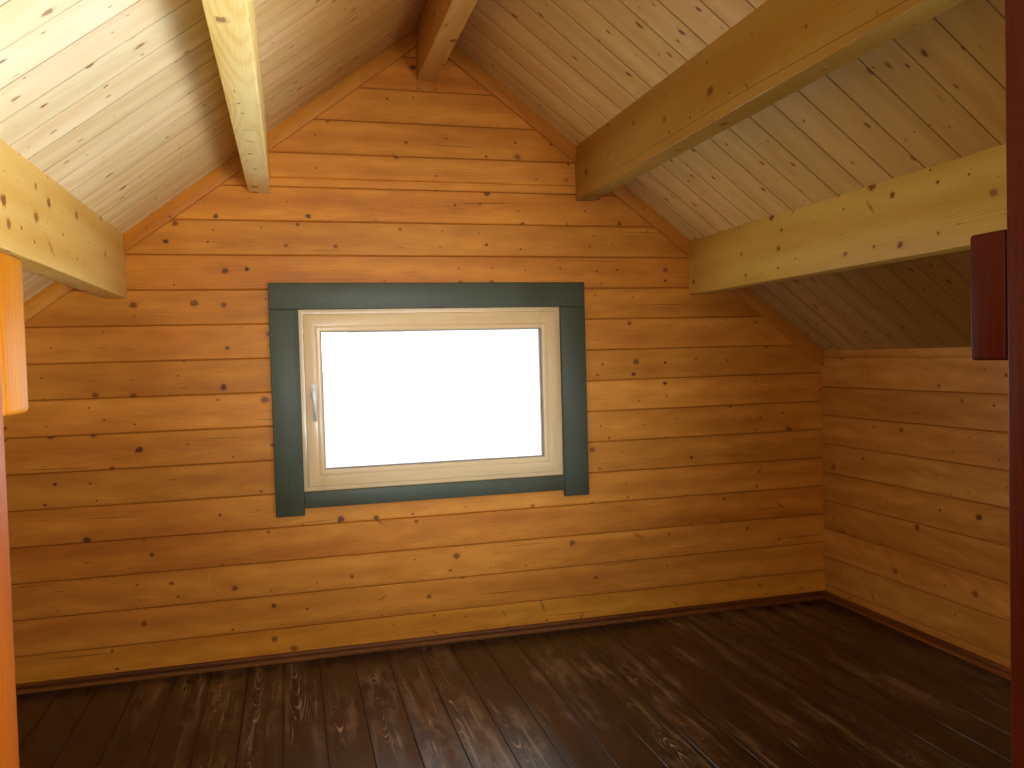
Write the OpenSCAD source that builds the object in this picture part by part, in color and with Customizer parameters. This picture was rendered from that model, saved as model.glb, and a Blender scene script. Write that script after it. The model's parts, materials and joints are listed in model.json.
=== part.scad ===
// Gable end bay of a small log cabin, loft storey.
// X runs across the room, Y runs in towards the gable wall, Z is up.
// The origin is under the middle of the bay's bounding box. All sizes in mm.

/* [Logs] */
// Height of one log course, from joint to joint
course = 130; // [110:1:150]
// Thickness of the log walls
log_thick = 70; // [60:1:95]
// Length of the crossed log ends outside a corner
log_end = 130; // [80:5:200]
// Chamfer along the long edges of a log
log_chamfer = 4; // [2:0.5:8]
// Width of the tongue on top of a log
tongue_w = 24; // [16:1:36]
// Height of the tongue on top of a log
tongue_h = 8; // [5:1:12]
// Height of the thin course under the fifteenth log
strip_h = 36; // [24:1:60]

/* [Room] */
// Distance between the two low side walls
room_width = 3564; // [2400:2:4800]
// Distance from the open end to the gable wall
room_depth = 2644; // [2000:2:4000]
// Height of the ceiling boards above the floor at the ridge
ridge_height = 2476; // [2200:2:2800]
// Rise of the roof for each unit of run
roof_rise = 0.75; // [0.5:0.01:1.2]

/* [Purlins] */
// Width of the ridge beam and of the purlins
purlin_w = 78; // [60:1:120]
// Underside of the ridge beam above the floor
ridge_under = 2254; // [2100:2:2400]
// Distance from the ridge line to the mid purlins' inner faces
mid_purlin_x = 613; // [400:1:900]
// Underside of the mid purlins above the floor
mid_purlin_under = 1794; // [1600:2:1900]
// Distance from the ridge line to the low purlins' inner faces
low_purlin_x = 1126; // [950:1:1400]
// Underside of the low purlins above the floor
low_purlin_under = 1400; // [1200:2:1500]

/* [Roof] */
// Thickness of the ceiling boards
deck_t = 20; // [16:1:32]
// Width of one ceiling board
deck_board = 123.5; // [90:0.5:160]
// Thickness of the roof covering with its underlay
cover_t = 30; // [20:1:80]
// Overhang of the boards past the gable wall
gable_overhang = 300; // [150:10:500]
// Overhang of the boards past the side walls, measured level
eave_overhang = 300; // [150:10:450]
// Height of the barge boards, measured plumb
barge_h = 150; // [100:5:220]

/* [Floor] */
// Thickness of the floor boards
floor_t = 28; // [20:1:36]
// Width of one floor board
floor_board = 129; // [90:1:180]
// Width of a floor joist
joist_w = 60; // [45:1:90]
// Number of floor joists
joist_count = 7; // [4:1:9]
// Depth of the joists' pockets in the side logs
joist_bearing = 35; // [20:1:45]

/* [Window] */
// Half the width of the clear space inside the casing boards
casing_half = 526; // [400:1:700]
// Bottom of the clear space inside the casing boards, above the floor
casing_low = 652; // [500:1:900]
// Top of the clear space inside the casing boards, above the floor
casing_high = 1352; // [1100:1:1500]
// Width of the upright casing boards
casing_w = 107; // [80:1:140]
// Height of the upper casing board
casing_head = 101; // [80:1:140]
// Height of the lower casing board
casing_sill = 62; // [45:1:110]
// Length of the upright casing boards below the clear space
casing_foot = 89; // [62:1:140]
// Thickness of the casing boards
casing_t = 20; // [15:1:30]
// Half the width of the clear glass
glass_half = 444; // [300:1:600]
// Bottom of the clear glass above the floor
glass_low = 733; // [600:1:950]
// Top of the clear glass above the floor
glass_high = 1266; // [1000:1:1450]
// Length of the window's lever
lever_l = 114; // [90:1:140]

/* [Doorway posts] */
// Inner face of the left post from the ridge line
left_post_x = -764; // [-1000:1:-720]
// Inner face of the right post from the ridge line
right_post_x = 146; // [45:1:500]
// Depth of the posts along the room
post_d = 78; // [60:1:120]
// Width of the posts
post_w = 90; // [60:1:120]

/* [Build] */
// Node to build, or all

/* [Hidden] */
// Gap between neighbours that lie against each other
fit = 0.4;
half_room = room_width / 2;
half_wall = half_room + log_thick;
half_end = half_wall + log_end;
half_eave = half_wall + eave_overhang;
barge_t = 20;
drip = 12;
overall_depth = room_depth + log_thick + gable_overhang + barge_t + drip;
near_y = -overall_depth / 2;
gable_y = near_y + room_depth;
gable_out_y = gable_y + log_thick;
deck_end_y = gable_out_y + gable_overhang;
cover_end_y = deck_end_y + barge_t + drip;
// The floor's top lies one course above the underside
floor_z = course;
ridge_z = floor_z + ridge_height;
slope = atan(roof_rise);
plumb = 1 / cos(slope);
notch = course / 4;
half_course = course / 2;
joist_h = course - floor_t;
side_top = ridge_height - roof_rise * half_room;
batten_plumb = 67.5;
batten_t = 20;
skirting_h = 36;
skirting_t = 12;
// Each point's distance from the wall and height above the floor
skirting_section = [[0, 0], [skirting_t, 0], [skirting_t, 11], [10.5, 14.5], [8, 16], [8, 18],
                    [9.2, 21.5], [9, 27], [6.6, 32], [3, 35.2], [0, skirting_h]];
groove_leg = 3;
board_lead = 13;
far = 400;
frame_lap = 12;
frame_half = casing_half + frame_lap;
frame_low = casing_low - frame_lap;
frame_high = casing_high + frame_lap;
frame_w = 40;
stop_w = 12;
sash_gap = 3;
sash_lip = 14;
glass_rebate = 14;
pane_t = 4;
log_wood = [0.85, 0.55, 0.25];
pale_wood = [0.90, 0.72, 0.42];
cream = [0.93, 0.84, 0.72];
dark_paint = [0.12, 0.16, 0.15];
dark_floor = [0.16, 0.10, 0.07];
shingle = [0.20, 0.20, 0.21];
steel = [0.75, 0.76, 0.78];
clear = [0.80, 0.88, 0.90, 0.4];

// Height of the ceiling's underside at a distance from the ridge line
function ceiling_z(x) = ridge_z - roof_rise * abs(x);

// Both hands of a shape that is drawn on the +X side
module both_sides() {
  children();
  mirror([1, 0, 0])
    children();
}

// Box between two corners
module block(low, high)
  translate(low)
    cube(high - low);

// Section of one log: chamfered edges, a tongue on top and the groove under it
module log_section(h, tongue = true, groove = true) {
  c = log_chamfer;
  t = log_thick;
  top = h - fit;
  difference() {
    union() {
      polygon([[c, 0], [t - c, 0], [t, c], [t, top - c],
               [t - c, top], [c, top], [0, top - c], [0, c]]);
      if (tongue)
        translate([(t - tongue_w) / 2, top - 1])
          square([tongue_w, tongue_h]);
    }
    if (groove)
      translate([(t - tongue_w) / 2 - fit, -1])
        square([tongue_w + 2 * fit, tongue_h + 1]);
  }
}

// Log along X in the gable wall, from its height above the floor
module log_across(reach, z0, h, tongue, groove)
  translate([-reach, gable_y, floor_z + z0])
    rotate([90, 0, 90])
      linear_extrude(2 * reach)
        log_section(h, tongue, groove);

// Log along Y in the side wall on the +X side
module log_along(z0, h, tongue, groove)
  translate([half_room, gable_out_y + log_end, floor_z + z0])
    rotate([90, 0, 0])
      linear_extrude(room_depth + log_thick + log_end)
        log_section(h, tongue, groove);

// Everything under the ceiling boards
module under_roof()
  translate([0, cover_end_y + far, 0])
    rotate([90, 0, 0])
      linear_extrude(overall_depth + 2 * far)
        polygon([[-half_eave, -far], [half_eave, -far],
                 [half_eave, ceiling_z(half_eave) - fit], [0, ridge_z - fit],
                 [-half_eave, ceiling_z(half_eave) - fit]]);

// Notches in a gable log where the side walls cross it
module gable_notch(z0, z1)
  both_sides()
    block([half_room - fit, gable_y - 1, floor_z + z0],
          [half_wall + fit, gable_out_y + 1, floor_z + z1]);

// Notch in a side log where the gable wall crosses it
module side_notch(z0, z1)
  block([half_room - 1, gable_y - fit, floor_z + z0],
        [half_wall + 1, gable_out_y + fit, floor_z + z1]);

// Ways of the purlins and the ridge beam through the gable wall
module purlin_way(x, under)
  both_sides()
    block([x - fit, gable_y - 1, floor_z + under - fit],
          [x + purlin_w + fit, gable_out_y + 1, ridge_z]);

module roof_beam_ways() {
  purlin_way(mid_purlin_x, mid_purlin_under);
  purlin_way(low_purlin_x, low_purlin_under);
  // The ridge beam's pocket reaches down to the joint under its packer
  block([-purlin_w / 2 - fit, gable_y - 1, floor_z + 17 * course - fit],
        [purlin_w / 2 + fit, gable_out_y + 1, ridge_z]);
}

// Hole in the logs for the window frame
module window_way()
  block([-frame_half - fit, gable_y - 1, floor_z + frame_low - fit],
        [frame_half + fit, gable_out_y + 1, floor_z + frame_high + fit]);

// How far a course of the gable wall reaches from the ridge line
function gable_reach(n) =
  n < 10 ? half_end :
  n == 13 ? low_purlin_x :
  n == 16 ? mid_purlin_x : half_wall;

// One course of the gable wall, notched over and under the side logs
module gable_log(n) {
  z0 = (n - 1) * course;
  thin = n == 15 ? strip_h : 0;
  color(log_wood)
    intersection() {
      difference() {
        log_across(gable_reach(n), z0 + thin, course - thin, n < 19, n > 0);
        if (n < 10) {
          gable_notch(z0 + course - notch - fit / 2, z0 + course + tongue_h);
          gable_notch(z0 - 1, z0 + notch + fit / 2);
        }
        window_way();
        roof_beam_ways();
      }
      under_roof();
    }
}

// Thin levelling course in the gable wall between the mid purlins' pockets
module gable_thin_course()
  color(log_wood)
    intersection() {
      difference() {
        log_across(half_wall, 14 * course, strip_h, true, true);
        roof_beam_ways();
      }
      under_roof();
    }

// Pockets for the joist ends in the side logs
module joist_pockets()
  for (i = [0 : joist_count - 1])
    block([half_room - 1, joist_y(i) - joist_w / 2 - fit, -1],
          [half_room + joist_bearing + fit, joist_y(i) + joist_w / 2 + fit, joist_h + fit]);

function joist_y(i) =
  near_y + joist_w / 2 + i * (room_depth - joist_w - 1) / (joist_count - 1);

// Side log k: 0 is the half-height sill, 1 to 8 are full courses, 9 is the wide top one
module side_log(k) {
  z0 = k == 0 ? -course : (k - 1.5) * course;
  h = k == 0 ? half_course : k == 9 ? side_top - z0 + notch : course;
  intersection() {
    difference() {
      log_along(z0, h, k < 9, k > 0);
      if (k > 0)
        side_notch(z0 - 1, z0 + notch + fit / 2);
      if (k == 0)
        side_notch(z0 + notch - fit / 2, z0 + course);
      if (k > 0)
        side_notch(z0 + course - notch - fit / 2, z0 + 2 * course);
      if (k < 2)
        joist_pockets();
    }
    under_roof();
  }
}

module side_logs(first)
  color(log_wood)
    both_sides()
      for (k = [first : 2 : 9])
        side_log(k);

// Upright beam along Y whose top follows the roof
module roof_beam(x, under)
  intersection() {
    block([x, near_y, floor_z + under], [x + purlin_w, deck_end_y, ridge_z]);
    under_roof();
  }

module ridge_beam()
  color(pale_wood)
    roof_beam(-purlin_w / 2, ridge_under);

module ridge_packer()
  color(pale_wood)
    block([-purlin_w / 2, gable_y, floor_z + 17 * course],
          [purlin_w / 2, gable_out_y, floor_z + ridge_under - fit]);

module mid_purlins()
  color(pale_wood)
    both_sides()
      roof_beam(mid_purlin_x, mid_purlin_under);

module low_purlins()
  color(pale_wood)
    both_sides()
      roof_beam(low_purlin_x, low_purlin_under);

// Slab of one roof slope between two distances square to the ceiling's underside
module slope_slab(low, high, eave, end_y)
  translate([0, end_y, 0])
    rotate([90, 0, 0])
      linear_extrude(end_y - near_y)
        polygon([[fit / 2, ridge_z + low * plumb], [eave, ceiling_z(eave) + low * plumb],
                 [eave, ceiling_z(eave) + high * plumb], [fit / 2, ridge_z + high * plumb]]);

// Boards of one slope, run from eave to ridge, with a V joint between each two
module ceiling_boards() {
  joints = floor((room_depth - board_lead) / deck_board);
  outer = floor((deck_end_y - gable_y + board_lead) / deck_board);
  color(pale_wood)
    difference() {
      slope_slab(0, deck_t, half_eave, deck_end_y);
      for (j = [-outer : joints])
        translate([0, gable_y - board_lead - j * deck_board, ridge_z])
          rotate([0, slope, 0])
            rotate([45, 0, 0])
              cube([3 * half_eave, groove_leg, groove_leg], center = true);
    }
}

module roof_covering()
  color(shingle)
    slope_slab(deck_t + fit, deck_t + cover_t, half_eave + drip, cover_end_y);

// Folded cap over the meeting of the two slopes
module ridge_cap() {
  wing = 130;
  cap_t = 3;
  low = ridge_z + (deck_t + cover_t + fit) * plumb;
  color(shingle)
    translate([0, cover_end_y, 0])
      rotate([90, 0, 0])
        linear_extrude(overall_depth)
          polygon([[0, low], [wing, low - wing * roof_rise],
                   [wing, low - wing * roof_rise + cap_t * plumb], [0, low + cap_t * plumb],
                   [-wing, low - wing * roof_rise + cap_t * plumb],
                   [-wing, low - wing * roof_rise]]);
}

// Board on edge along each slope's gable end, cut plumb at ridge and eave
module barge_boards() {
  lift = deck_t * plumb;
  color(dark_paint)
    both_sides()
      translate([0, deck_end_y + barge_t, 0])
        rotate([90, 0, 0])
          linear_extrude(barge_t - fit)
            polygon([[fit / 2, ridge_z + lift], [half_eave, ceiling_z(half_eave) + lift],
                     [half_eave, ceiling_z(half_eave) + lift - barge_h],
                     [fit / 2, ridge_z + lift - barge_h]]);
}

module floor_joists()
  color(pale_wood)
    for (i = [0 : joist_count - 1])
      block([-half_room - joist_bearing, joist_y(i) - joist_w / 2, 0],
            [half_room + joist_bearing, joist_y(i) + joist_w / 2, joist_h]);

// Floor boards along the room, with a V joint between each two
module floor_boards() {
  half = half_room - fit;
  lead = 22;
  sides = floor(half / floor_board);
  color(dark_floor)
    difference() {
      block([-half, near_y, joist_h + fit], [half, gable_y - fit, floor_z]);
      for (i = [-sides : sides])
        translate([i * floor_board + lead, 0, floor_z])
          rotate([0, 45, 0])
            cube([3, overall_depth, 3], center = true);
    }
}

// What stands over a plan
module over_plan(points)
  translate([0, 0, floor_z - 1])
    linear_extrude(skirting_h + 2)
      polygon(points);

// Moulded strip along the foot of the gable wall and of both side walls, mitred in the corners
module skirting() {
  reach = half_room - fit / 2;
  end_y = gable_y - fit / 2;
  inner_x = reach - skirting_t;
  inner_y = end_y - skirting_t;
  color([0.33, 0.16, 0.10]) {
    intersection() {
      translate([-reach, end_y, floor_z])
        rotate([90, 0, 90])
          linear_extrude(2 * reach)
            mirror([1, 0, 0])
              polygon(skirting_section);
      over_plan([[-reach, end_y], [reach, end_y], [inner_x, inner_y], [-inner_x, inner_y]]);
    }
    both_sides()
      intersection() {
        translate([reach, end_y, floor_z])
          rotate([90, 0, 0])
            linear_extrude(end_y - near_y)
              mirror([1, 0, 0])
                polygon(skirting_section);
        over_plan([[inner_x, near_y], [reach, near_y], [reach, end_y - fit], [inner_x, inner_y - fit]]);
      }
  }
}

// Battens up the gable wall under the ceiling, cut plumb at every purlin
module gable_batten(x0, x1)
  translate([0, gable_y - fit / 2, 0])
    rotate([90, 0, 0])
      linear_extrude(batten_t)
        polygon([[x0, ceiling_z(x0) - fit], [x1, ceiling_z(x1) - fit],
                 [x1, ceiling_z(x1) - batten_plumb], [x0, ceiling_z(x0) - batten_plumb]]);

module gable_battens()
  color(log_wood)
    both_sides() {
      gable_batten(purlin_w / 2 + fit, mid_purlin_x - fit);
      gable_batten(mid_purlin_x + purlin_w + fit, low_purlin_x - fit);
      gable_batten(low_purlin_x + purlin_w + fit, half_room - fit);
    }

// Upright rectangular plate centred on X, at distances y0 to y1 from the wall's inner face
module plate(half, low, high, y0, y1)
  block([-half, gable_y + y0, floor_z + low], [half, gable_y + y1, floor_z + high]);

// Frame with a stop on its weather side
module window_frame()
  color(cream)
    difference() {
      plate(frame_half, frame_low, frame_high, 2, log_thick - 2);
      plate(frame_half - frame_w, frame_low + frame_w, frame_high - frame_w, 0, 42);
      plate(frame_half - frame_w - stop_w, frame_low + frame_w + stop_w,
            frame_high - frame_w - stop_w, 0, log_thick);
    }

// Sash with a lip that laps the frame and a rebate round the glass
module window_sash() {
  inset = frame_w + sash_gap;
  lap = inset - sash_lip;
  color(cream)
    difference() {
      union() {
        plate(frame_half - inset, frame_low + inset, frame_high - inset, -10, 41);
        plate(frame_half - lap, frame_low + lap, frame_high - lap, -10, 2 - fit);
      }
      plate(glass_half, glass_low, glass_high, -11, 42);
      plate(glass_half + glass_rebate, glass_low - glass_rebate,
            glass_high + glass_rebate, 8, 32);
    }
}

// Two panes of the sealed unit, held in the sash's rebate
module window_glass()
  color(clear)
    for (y = [8 + fit, 32 - fit - pane_t])
      plate(glass_half + glass_rebate - fit, glass_low - glass_rebate + fit,
            glass_high + glass_rebate - fit, y, y + pane_t);

// Lever that points down, on a round-ended plate on the left stile
module window_handle() {
  face = gable_y - 10 - fit / 2;
  plate_r = 14;
  plate_t = 8;
  plate_l = 38;
  neck = 36;
  lever_r = 9;
  tip_r = 7;
  lever_t = 13;
  handle_x = -(glass_half + frame_half - frame_w - sash_gap + sash_lip) / 2;
  handle_z = floor_z + 1037;
  color(steel)
    translate([handle_x, face, handle_z])
      rotate([90, 0, 0]) {
        linear_extrude(plate_t) {
          translate([-plate_r, -plate_l / 2])
            square([2 * plate_r, plate_l]);
          for (s = [-1, 1])
            translate([0, s * plate_l / 2])
              circle(r = plate_r, $fn = 32);
        }
        cylinder(r = lever_r - 2, h = neck, $fn = 24);
        translate([0, 0, neck - lever_t])
          linear_extrude(lever_t) {
            circle(r = lever_r, $fn = 24);
            polygon([[-lever_r, 0], [lever_r, 0], [tip_r, -lever_l + tip_r],
                     [-tip_r, -lever_l + tip_r]]);
            translate([0, -lever_l + tip_r])
              circle(r = tip_r, $fn = 24);
          }
      }
}

// Casing boards in the room: the uprights run down past the lower board
module inner_casing_boards() {
  outer = casing_half + casing_w;
  color(dark_paint)
    translate([0, gable_y - fit / 2, floor_z])
      rotate([90, 0, 0])
        linear_extrude(casing_t) {
          both_sides()
            translate([casing_half, casing_low - casing_foot])
              square([casing_w, casing_high - casing_low + casing_foot - fit]);
          translate([-outer, casing_high])
            square([2 * outer, casing_head]);
          translate([-casing_half + fit, casing_low - casing_sill])
            square([2 * (casing_half - fit), casing_sill]);
        }
}

// Casing boards on the weather side, with a sill board that slopes out
module outer_casing_boards() {
  outer = casing_half + casing_w;
  sill_out = 48;
  color(dark_paint) {
    translate([0, gable_out_y + casing_t + fit / 2, floor_z])
      rotate([90, 0, 0])
        linear_extrude(casing_t) {
          both_sides()
            translate([casing_half, casing_low + fit])
              square([casing_w, casing_high - casing_low - 2 * fit]);
          translate([-outer, casing_high])
            square([2 * outer, casing_head]);
        }
    translate([-outer, gable_out_y + fit / 2, floor_z + casing_low])
      rotate([90, 0, 90])
        linear_extrude(2 * outer)
          polygon([[0, 0], [sill_out, -12], [sill_out, -30], [casing_t, -30],
                   [casing_t, -casing_sill], [0, -casing_sill]]);
  }
}

// Posts of the doorway at the open end, from the floor to the ceiling boards
module doorway_posts()
  color([0.45, 0.22, 0.12])
    intersection() {
      union() {
        block([left_post_x - post_w, near_y, floor_z],
              [left_post_x, near_y + post_d, ridge_z]);
        block([right_post_x, near_y, floor_z],
              [right_post_x + post_w, near_y + post_d, ridge_z]);
      }
      under_roof();
    }

// Short blocks on the posts' room side, flush with the doorway
module post_blocks() {
  start = near_y + post_d + fit / 2;
  block_w = 60;
  left_d = 60;
  right_d = 46;
  color([0.45, 0.22, 0.12]) {
    block([left_post_x - block_w, start, floor_z + 1111],
          [left_post_x, start + left_d, floor_z + 1235]);
    block([right_post_x, start, floor_z + 1128],
          [right_post_x + block_w, start + right_d, floor_z + 1262]);
  }
}

gable_log(0);  // gable_log_00
gable_log(1);  // gable_log_01
gable_log(2);  // gable_log_02
gable_log(3);  // gable_log_03
gable_log(4);  // gable_log_04
gable_log(5);  // gable_log_05
gable_log(6);  // gable_log_06
gable_log(7);  // gable_log_07
gable_log(8);  // gable_log_08
gable_log(9);  // gable_log_09
gable_log(10);  // gable_log_10
gable_log(11);  // gable_log_11
gable_log(12);  // gable_log_12
gable_log(13);  // gable_log_13
gable_log(14);  // gable_log_14
gable_log(15);  // gable_log_15
gable_log(16);  // gable_log_16
gable_log(17);  // gable_log_17
gable_log(18);  // gable_log_18
gable_log(19);  // gable_log_19
gable_thin_course();
side_logs(0);  // side_logs_even
side_logs(1);  // side_logs_odd
ridge_beam();
ridge_packer();
mid_purlins();
low_purlins();
mirror([1, 0, 0]) ceiling_boards();  // ceiling_boards_left
ceiling_boards();  // ceiling_boards_right
mirror([1, 0, 0]) roof_covering();  // roof_covering_left
roof_covering();  // roof_covering_right
ridge_cap();
barge_boards();
floor_joists();
floor_boards();
skirting();
gable_battens();
window_frame();
window_sash();
window_glass();
window_handle();
inner_casing_boards();
outer_casing_boards();
doorway_posts();
post_blocks();
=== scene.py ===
import json
import math
import bmesh
import bpy
from mathutils import Matrix, Vector


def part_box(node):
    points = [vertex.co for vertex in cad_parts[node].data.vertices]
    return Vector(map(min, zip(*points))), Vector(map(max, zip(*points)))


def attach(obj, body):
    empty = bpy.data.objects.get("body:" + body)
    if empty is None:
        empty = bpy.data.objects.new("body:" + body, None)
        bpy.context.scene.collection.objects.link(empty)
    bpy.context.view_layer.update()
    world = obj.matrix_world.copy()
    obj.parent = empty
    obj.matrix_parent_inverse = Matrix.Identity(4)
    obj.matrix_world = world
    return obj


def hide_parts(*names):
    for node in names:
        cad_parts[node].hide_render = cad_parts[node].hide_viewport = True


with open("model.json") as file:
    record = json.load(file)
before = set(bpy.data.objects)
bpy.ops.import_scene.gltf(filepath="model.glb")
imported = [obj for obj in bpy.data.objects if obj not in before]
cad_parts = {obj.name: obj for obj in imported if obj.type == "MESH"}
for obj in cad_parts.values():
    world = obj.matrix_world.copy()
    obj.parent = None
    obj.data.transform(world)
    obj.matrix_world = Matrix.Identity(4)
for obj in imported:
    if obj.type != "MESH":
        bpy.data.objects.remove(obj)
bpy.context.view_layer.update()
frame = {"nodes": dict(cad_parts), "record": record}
print("frame loaded:", len(frame["nodes"]), "nodes")

# Sizes of the bay in metres, as the part's source has them
bay = {
    "course": 0.130, "floorTop": 0.130, "halfRoom": 1.782, "wall": 0.070,
    "nearY": -1.523, "gableY": 1.121, "ridgeZ": 2.606, "rise": 0.75,
    "ceilingBoard": 0.1235, "ceilingLead": 0.013, "floorBoard": 0.129, "floorLead": 0.022,
    "deck": 0.020, "halfEave": 2.152, "drip": 0.012,
    "glassHalf": 0.444, "glassLow": 0.733, "glassHigh": 1.266,
}
slopeAngle = math.atan(bay["rise"])
slopeCos, slopeSin = math.cos(slopeAngle), math.sin(slopeAngle)

# Camera at the doorway, turned a little to the right and tipped slightly down
viewer = {
    "place": (-0.5603, -2.1212, 1.2740),
    "yaw": 15.10, "pitch": -1.80, "roll": -1.575, "focal": 28.76,
}


def newObject(name, data):
    made = bpy.data.objects.new(name, data)
    bpy.context.scene.collection.objects.link(made)
    return made


def addCamera():
    yaw, pitch, roll = (math.radians(viewer[k]) for k in ("yaw", "pitch", "roll"))
    ahead = Vector((math.sin(yaw) * math.cos(pitch), math.cos(yaw) * math.cos(pitch), math.sin(pitch)))
    side = Vector((math.cos(yaw), -math.sin(yaw), 0))
    above = side.cross(ahead)
    right = side * math.cos(roll) + above * math.sin(roll)
    up = above * math.cos(roll) - side * math.sin(roll)
    turn = Matrix((right, up, -ahead)).transposed().to_4x4()
    data = bpy.data.cameras.new("doorwayCamera")
    data.lens = viewer["focal"]
    data.sensor_width = 36
    data.clip_start = 0.02
    eye = newObject("doorwayCamera", data)
    eye.matrix_world = Matrix.Translation(viewer["place"]) @ turn
    bpy.context.scene.camera = eye


addCamera()


class Wire:
    # A node socket that takes part in arithmetic
    def __init__(self, tree, socket):
        self.tree, self.socket = tree, socket

    def calc(self, operation, *others, clamp=False):
        return self.tree.add("ShaderNodeMath", [self, *others], operation=operation, use_clamp=clamp)

    def __add__(self, other): return self.calc("ADD", other)
    def __radd__(self, other): return self.calc("ADD", other)
    def __sub__(self, other): return self.calc("SUBTRACT", other)
    def __rsub__(self, other): return self.calc("MULTIPLY_ADD", -1.0, other)
    def __mul__(self, other): return self.calc("MULTIPLY", other)
    def __rmul__(self, other): return self.calc("MULTIPLY", other)
    def __truediv__(self, other): return self.calc("DIVIDE", other)
    def __pow__(self, other): return self.calc("POWER", other)
    def __neg__(self): return self.calc("MULTIPLY", -1.0)
    def __abs__(self): return self.calc("ABSOLUTE")
    def over(self, limit): return self.calc("GREATER_THAN", limit)
    def under(self, limit): return self.calc("LESS_THAN", limit)

    def line(self, gain, start):
        # The value times the gain, plus the start
        return self.calc("MULTIPLY_ADD", gain, start)

    def beside(self, name):
        # Another output of the same node
        return Wire(self.tree, self.socket.node.outputs[name])


class Arrow(Wire):
    # A socket that holds a vector
    def calc(self, operation, *others):
        return Arrow(self.tree, self.tree.add("ShaderNodeVectorMath", [self, *others], operation=operation).socket)

    def length(self):
        return self.tree.add("ShaderNodeVectorMath", [self], "Value", operation="LENGTH")


class Tree:
    # Builds nodes in one node tree
    def __init__(self, nodeTree):
        self.nodes, self.links = nodeTree.nodes, nodeTree.links

    def add(self, kind, values=(), out=0, **settings):
        node = self.nodes.new(kind)
        for name, value in settings.items():
            setattr(node, name, value)
        for name, value in values.items() if isinstance(values, dict) else enumerate(values):
            self.feed(node.inputs[name], value)
        return Wire(self, node.outputs[out])

    def feed(self, target, value):
        # Links a wire to a socket, or sets a plain value there
        if isinstance(value, Wire):
            self.links.new(value.socket, target)
        elif isinstance(value, (tuple, list)) and len(value) == 3 and len(target.default_value) == 4:
            target.default_value = (*value, 1)
        else:
            target.default_value = value

    def low(self, a, b): return a.calc("MINIMUM", b)
    def high(self, a, b): return a.calc("MAXIMUM", b)

    def fade(self, value, start, end):
        # 0 before start and 1 after end, or the other way round
        return value.calc("MULTIPLY_ADD", 1 / (end - start), start / (start - end), clamp=True)

    def vector(self, x, y, z):
        return Arrow(self, self.add("ShaderNodeCombineXYZ", [x, y, z]).socket)

    def parts(self, vector):
        split = self.add("ShaderNodeSeparateXYZ", [vector])
        return [split.beside(i) for i in range(3)]

    def swap(self, mask, off, on): return off * (1.0 - mask) + on * mask

    def noise(self, vector, scale, detail=2.0, rough=0.5, space="3D"):
        values = {"Vector": vector, "Scale": scale, "Detail": detail, "Roughness": rough}
        return self.add("ShaderNodeTexNoise", values, noise_dimensions=space)

    def flat(self, spot, waves, detail, rough=0.6):
        # Noise in a plane, with so many waves per metre along its two axes
        return self.noise(spot * (*waves, 0.0), 1.0, detail, rough, "2D")

    def steps(self, value, places, colours):
        # A colour for each stretch of the value, which runs from 0 to 1
        made = self.add("ShaderNodeValToRGB", [value])
        ramp = made.socket.node.color_ramp
        ramp.interpolation = "CONSTANT"
        while len(ramp.elements) < len(places):
            ramp.elements.new(0.5)
        for stop, place, colour in zip(ramp.elements, places, colours):
            stop.position, stop.color = place, (*colour, 1)
        return made

    def dice(self, number):
        # Three random numbers for each whole number
        return self.parts(self.add("ShaderNodeTexWhiteNoise", {"W": number}, "Color", noise_dimensions="1D"))

    def blend(self, factor, first, second, mode="MIX"):
        # Sockets 0, 6 and 7 are the factor and the two colours, and output 2 is the colour
        return self.add("ShaderNodeMix", {0: factor, 6: first, 7: second}, 2, data_type="RGBA", blend_type=mode)


class Finish(Tree):
    # One material with its Principled shader
    def __init__(self, name, **constants):
        self.material = bpy.data.materials.new(name)
        self.material.use_nodes = True
        super().__init__(self.material.node_tree)
        self.shader = self.nodes["Principled BSDF"]
        self.shader.inputs["Specular IOR Level"].default_value = 0.35
        for key, value in constants.items():
            self.shader.inputs[key.replace("_", " ")].default_value = value
        spot = self.add("ShaderNodeTexCoord", out="Object")
        self.place = Arrow(self, spot.socket)
        self.x, self.y, self.z = self.parts(spot)
        self.nx, self.ny, self.nz = self.parts(spot.beside("Normal"))

    def paint(self, colour, rough, *relief):
        # The relief is its height, its depth in metres and its strength
        self.feed(self.shader.inputs["Base Color"], colour)
        self.feed(self.shader.inputs["Roughness"], rough)
        if relief:
            bump = self.add("ShaderNodeBump", dict(zip(("Height", "Distance", "Strength"), relief)))
            self.feed(self.shader.inputs["Normal"], bump)
        return self.material


# What a board of wood looks like: colours, knots, rings and checks, sizes in metres
pineLook = {
    "light": (0.80, 0.320, 0.034), "dark": (0.61, 0.205, 0.016), "knot": (0.120, 0.026, 0.004),
    "halo": (0.42, 0.120, 0.010), "knotCell": (0.150, 0.062), "knotSize": (0.0026, 0.0115), "knotBias": 3.0,
    "haloDepth": 0.35, "knotShare": 0.45, "knotStretch": 0.85, "spikeShare": 0.08, "ring": 0.0065,
    "ringDepth": 0.22, "pithRoam": 0.05, "pithDepth": 0.004, "wander": 0.060, "cloudy": 0.30,
    "tint": 0.11, "checkShare": 0.45, "checkCell": (0.62, 0.105), "checkSize": (0.15, 0.0016), "fleckShare": 0.16,
}
purlinLook = dict(pineLook, light=(0.97, 0.82, 0.36), dark=(0.84, 0.60, 0.17), knot=(0.23, 0.075, 0.016),
                  halo=(0.62, 0.30, 0.055), knotCell=(0.120, 0.062), knotSize=(0.003, 0.0125), knotShare=0.58,
                  knotBias=2.0, spikeShare=0.20, tint=0.05, checkShare=0.0, ringDepth=0.42, cloudy=0.12)
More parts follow.
